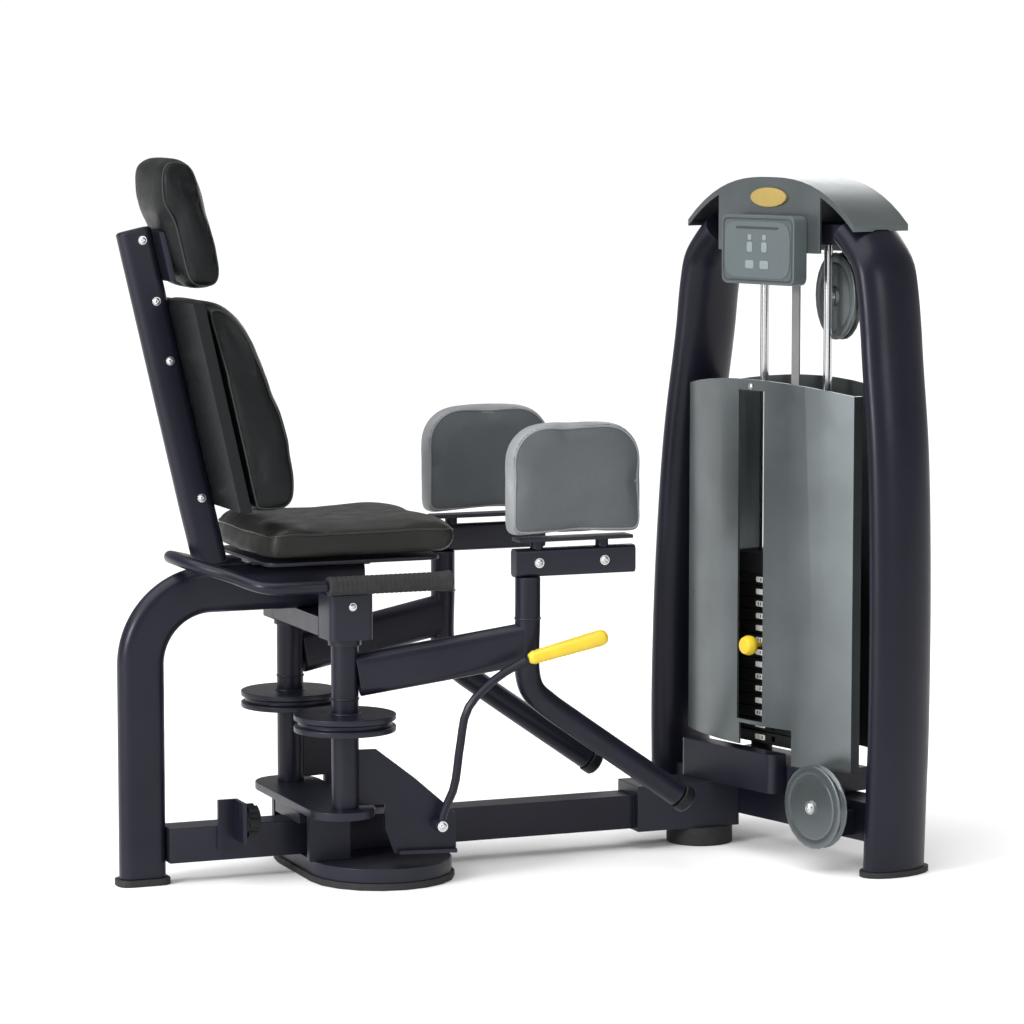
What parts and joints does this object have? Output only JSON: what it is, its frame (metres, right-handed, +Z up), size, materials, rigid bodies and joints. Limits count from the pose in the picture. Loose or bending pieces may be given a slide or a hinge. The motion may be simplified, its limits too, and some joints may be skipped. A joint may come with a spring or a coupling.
{
  "type": "hip abductor machine",
  "caption": "Hip abductor gym machine: padded seat with backrest and headrest, swinging thigh-pad levers, and an arched weight-stack tower with a curved cover.",
  "frame": {"origin": "on the floor under the rear leg, on the middle plane of the seat", "axes": "+X from the seat to the tower (the way the user faces), +Y to the user's left, +Z up"},
  "size_m": [1.6751, 0.8318, 1.535],
  "materials": {
    "frame_paint": "semi-gloss graphite blue powder coat",
    "grey_paint": "satin grey-green paint",
    "black_plastic": "fine-textured matte black",
    "rubber": "matte black",
    "back_leather": "black upholstery with a soft sheen",
    "seat_leather": "brownish black upholstery",
    "pad_vinyl": "mid grey upholstery vinyl",
    "chrome": "polished",
    "cast_iron": "black painted plates",
    "yellow_plastic": "bright yellow",
    "badge_gold": "plain gold oval",
    "display_plastic": "grey-green with a black surround",
    "belt_webbing": "woven black belt"
  },
  "bodies": {
    "frame": {"rear_leg": "frame_paint", "base_beam": "frame_paint", "cross_foot_plate": "frame_paint", "bearing_plate": "frame_paint", "cross_member": "frame_paint", "backrest_post": "frame_paint", "headrest_bracket": "frame_paint", "seat_pan": "frame_paint", "handle_loop": "frame_paint", "knob_bracket": "frame_paint", "near_upright": "frame_paint", "far_upright": "frame_paint", "base_crossmember": "frame_paint", "base_housing": "frame_paint", "top_beam": "frame_paint", "pulley_bracket": "frame_paint", "bottom_bracket": "frame_paint", "top_cap": "grey_paint", "front_shroud": "grey_paint", "rear_shroud": "grey_paint", "back_shell": "black_plastic", "rear_foot": "rubber", "beam_foot": "rubber", "cross_foot_rubber": "rubber", "right_grip": "rubber", "left_grip": "rubber", "near_upright_foot": "rubber", "far_upright_foot": "rubber", "near_stack_bumper": "rubber", "far_stack_bumper": "rubber", "back_cushion": "back_leather", "headrest_cushion": "back_leather", "seat_cushion": "seat_leather", "near_guide_rod": "chrome", "far_guide_rod": "chrome", "lower_plates": "cast_iron", "badge": "badge_gold", "display": "display_plastic"},
    "right_lever": {"right_sleeve": "frame_paint", "right_cam": "frame_paint", "right_arm": "frame_paint", "right_foot_cap": "black_plastic", "right_pad_bar": "frame_paint", "right_thigh_pad": "pad_vinyl"},
    "left_lever": {"left_sleeve": "frame_paint", "left_cam": "frame_paint", "left_arm": "frame_paint", "left_foot_cap": "black_plastic", "left_pad_bar": "frame_paint", "left_thigh_pad": "pad_vinyl"},
    "release_lever": {"release_rod": "frame_paint", "release_grip": "yellow_plastic"},
    "lifted_stack": {"upper_plates": "cast_iron", "top_plate": "cast_iron", "selector_rod": "chrome", "lift_belt": "belt_webbing"},
    "selector_pin": {"selector_pin": "yellow_plastic"},
    "side_pulley": {"side_pulley": "grey_paint"},
    "bottom_pulley": {"bottom_pulley": "grey_paint"},
    "adjust_knob": {"adjust_knob": "black_plastic"}
  },
  "joints": [
    {"name": "right_lever_swing", "type": "hinge", "parent": "frame", "child": "right_lever", "pos_m": [0.397, -0.18, 0.35], "axis": [0, 0, -1], "range_deg": [0, 55]},
    {"name": "left_lever_swing", "type": "hinge", "parent": "frame", "child": "left_lever", "pos_m": [0.397, 0.18, 0.35], "axis": [0, 0, 1], "range_deg": [0, 55]},
    {"name": "stack_lift", "type": "slide", "parent": "frame", "child": "lifted_stack", "axis": [0, 0, 1], "range_m": [0, 0.289], "deforming": ["lift_belt"]},
    {"name": "selector_pin_pull", "type": "slide", "parent": "lifted_stack", "child": "selector_pin", "axis": [-0.9659, -0.2588, 0], "range_m": [0, 0.075]},
    {"name": "release_lever_pull", "type": "hinge", "parent": "right_lever", "child": "release_lever", "pos_m": [0.585, -0.2533, 0.128], "axis": [0, -1, 0], "range_deg": [0, 9]},
    {"name": "side_pulley_spin", "type": "hinge", "parent": "frame", "child": "side_pulley", "pos_m": [1.51959, -0.23341, 1.226], "axis": [1, 0, 0], "range_deg": [0, 166]},
    {"name": "bottom_pulley_spin", "type": "hinge", "parent": "frame", "child": "bottom_pulley", "pos_m": [1.38107, -0.41961, 0.142], "axis": [0.9659, 0.2588, 0], "range_deg": [0, 184]},
    {"name": "adjust_knob_turn", "type": "hinge", "parent": "frame", "child": "adjust_knob", "pos_m": [0.22, -0.074, 0.134], "axis": [1, 0, 0], "continuous": true}
  ],
  "couplings": [
    {"joint": "left_lever_swing", "follows": "right_lever_swing", "ratio": 1},
    {"joint": "stack_lift", "follows": "right_lever_swing", "m_per_rad": 0.3},
    {"joint": "side_pulley_spin", "follows": "right_lever_swing", "ratio": 3},
    {"joint": "bottom_pulley_spin", "follows": "right_lever_swing", "ratio": 3.3333}
  ]
}
